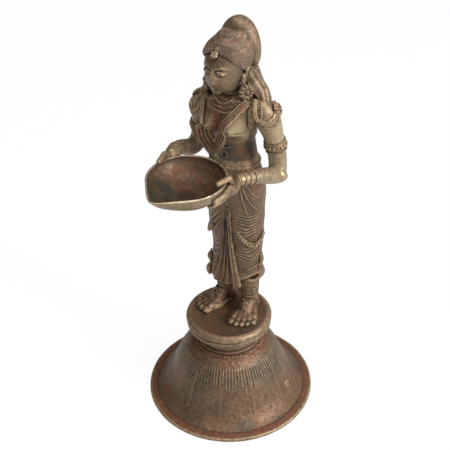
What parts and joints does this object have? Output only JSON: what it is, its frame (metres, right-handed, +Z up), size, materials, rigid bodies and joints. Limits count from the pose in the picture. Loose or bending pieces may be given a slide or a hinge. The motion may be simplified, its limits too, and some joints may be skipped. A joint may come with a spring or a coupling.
{
  "type": "standing lamp-bearer oil lamp",
  "caption": "Cast brass lamp-bearer figure in a draped dress, standing on a round plinth and a hollow bell base and holding a spouted oil bowl in both hands.",
  "frame": {"origin": "centre of the base on the surface that the lamp stands on", "axes": "+Z up, the figure looks along -Y, its own left is +X"},
  "size_m": [0.1, 0.111, 0.2411],
  "materials": {
    "aged_brass": "aged cast brass, brown patina in the hollows and worn bright on the high places",
    "dark_brass": "aged cast brass with combed chased lines, darker patina",
    "bowl_brass": "oil-stained brass, dark inside and bright along the rim",
    "fixing_brass": "turned brass, dull"
  },
  "bodies": {
    "base": {"bell_base": "aged_brass", "rim_rivets": "aged_brass"},
    "figure": {"plinth_disc": "aged_brass", "tie_stud": "fixing_brass", "tie_washer": "fixing_brass", "tie_nut": "fixing_brass", "left_foot": "aged_brass", "right_foot": "aged_brass", "left_anklets": "aged_brass", "right_anklets": "aged_brass", "skirt": "aged_brass", "front_pleats": "aged_brass", "left_hem_tail": "aged_brass", "right_hem_tail": "aged_brass", "left_leg_garland": "aged_brass", "right_leg_garland": "aged_brass", "girdle": "aged_brass", "left_sash_knot": "aged_brass", "right_sash_knot": "aged_brass", "torso": "aged_brass", "collar_necklace": "aged_brass", "left_shawl_band": "aged_brass", "right_shawl_band": "aged_brass", "head": "aged_brass", "hair_cap": "dark_brass", "forehead_jewel": "aged_brass", "hair_bun": "dark_brass", "left_ear_disc": "aged_brass", "right_ear_disc": "aged_brass", "left_hair_ribbon": "dark_brass", "right_hair_ribbon": "dark_brass", "left_shoulder_lock": "aged_brass", "right_shoulder_lock": "aged_brass", "left_arm": "aged_brass", "right_arm": "aged_brass", "left_sleeve_band": "aged_brass", "right_sleeve_band": "aged_brass", "left_rosette": "aged_brass", "right_rosette": "aged_brass", "left_armlet": "aged_brass", "right_armlet": "aged_brass", "left_bangles": "aged_brass", "right_bangles": "aged_brass", "left_hand": "aged_brass", "right_hand": "aged_brass", "lamp_bowl": "bowl_brass"}
  },
  "joints": [
    {"name": "figure_turn", "type": "hinge", "parent": "base", "child": "figure", "pos_m": [0, 0, 0.046], "axis": [0, 0, 1], "continuous": true}
  ]
}
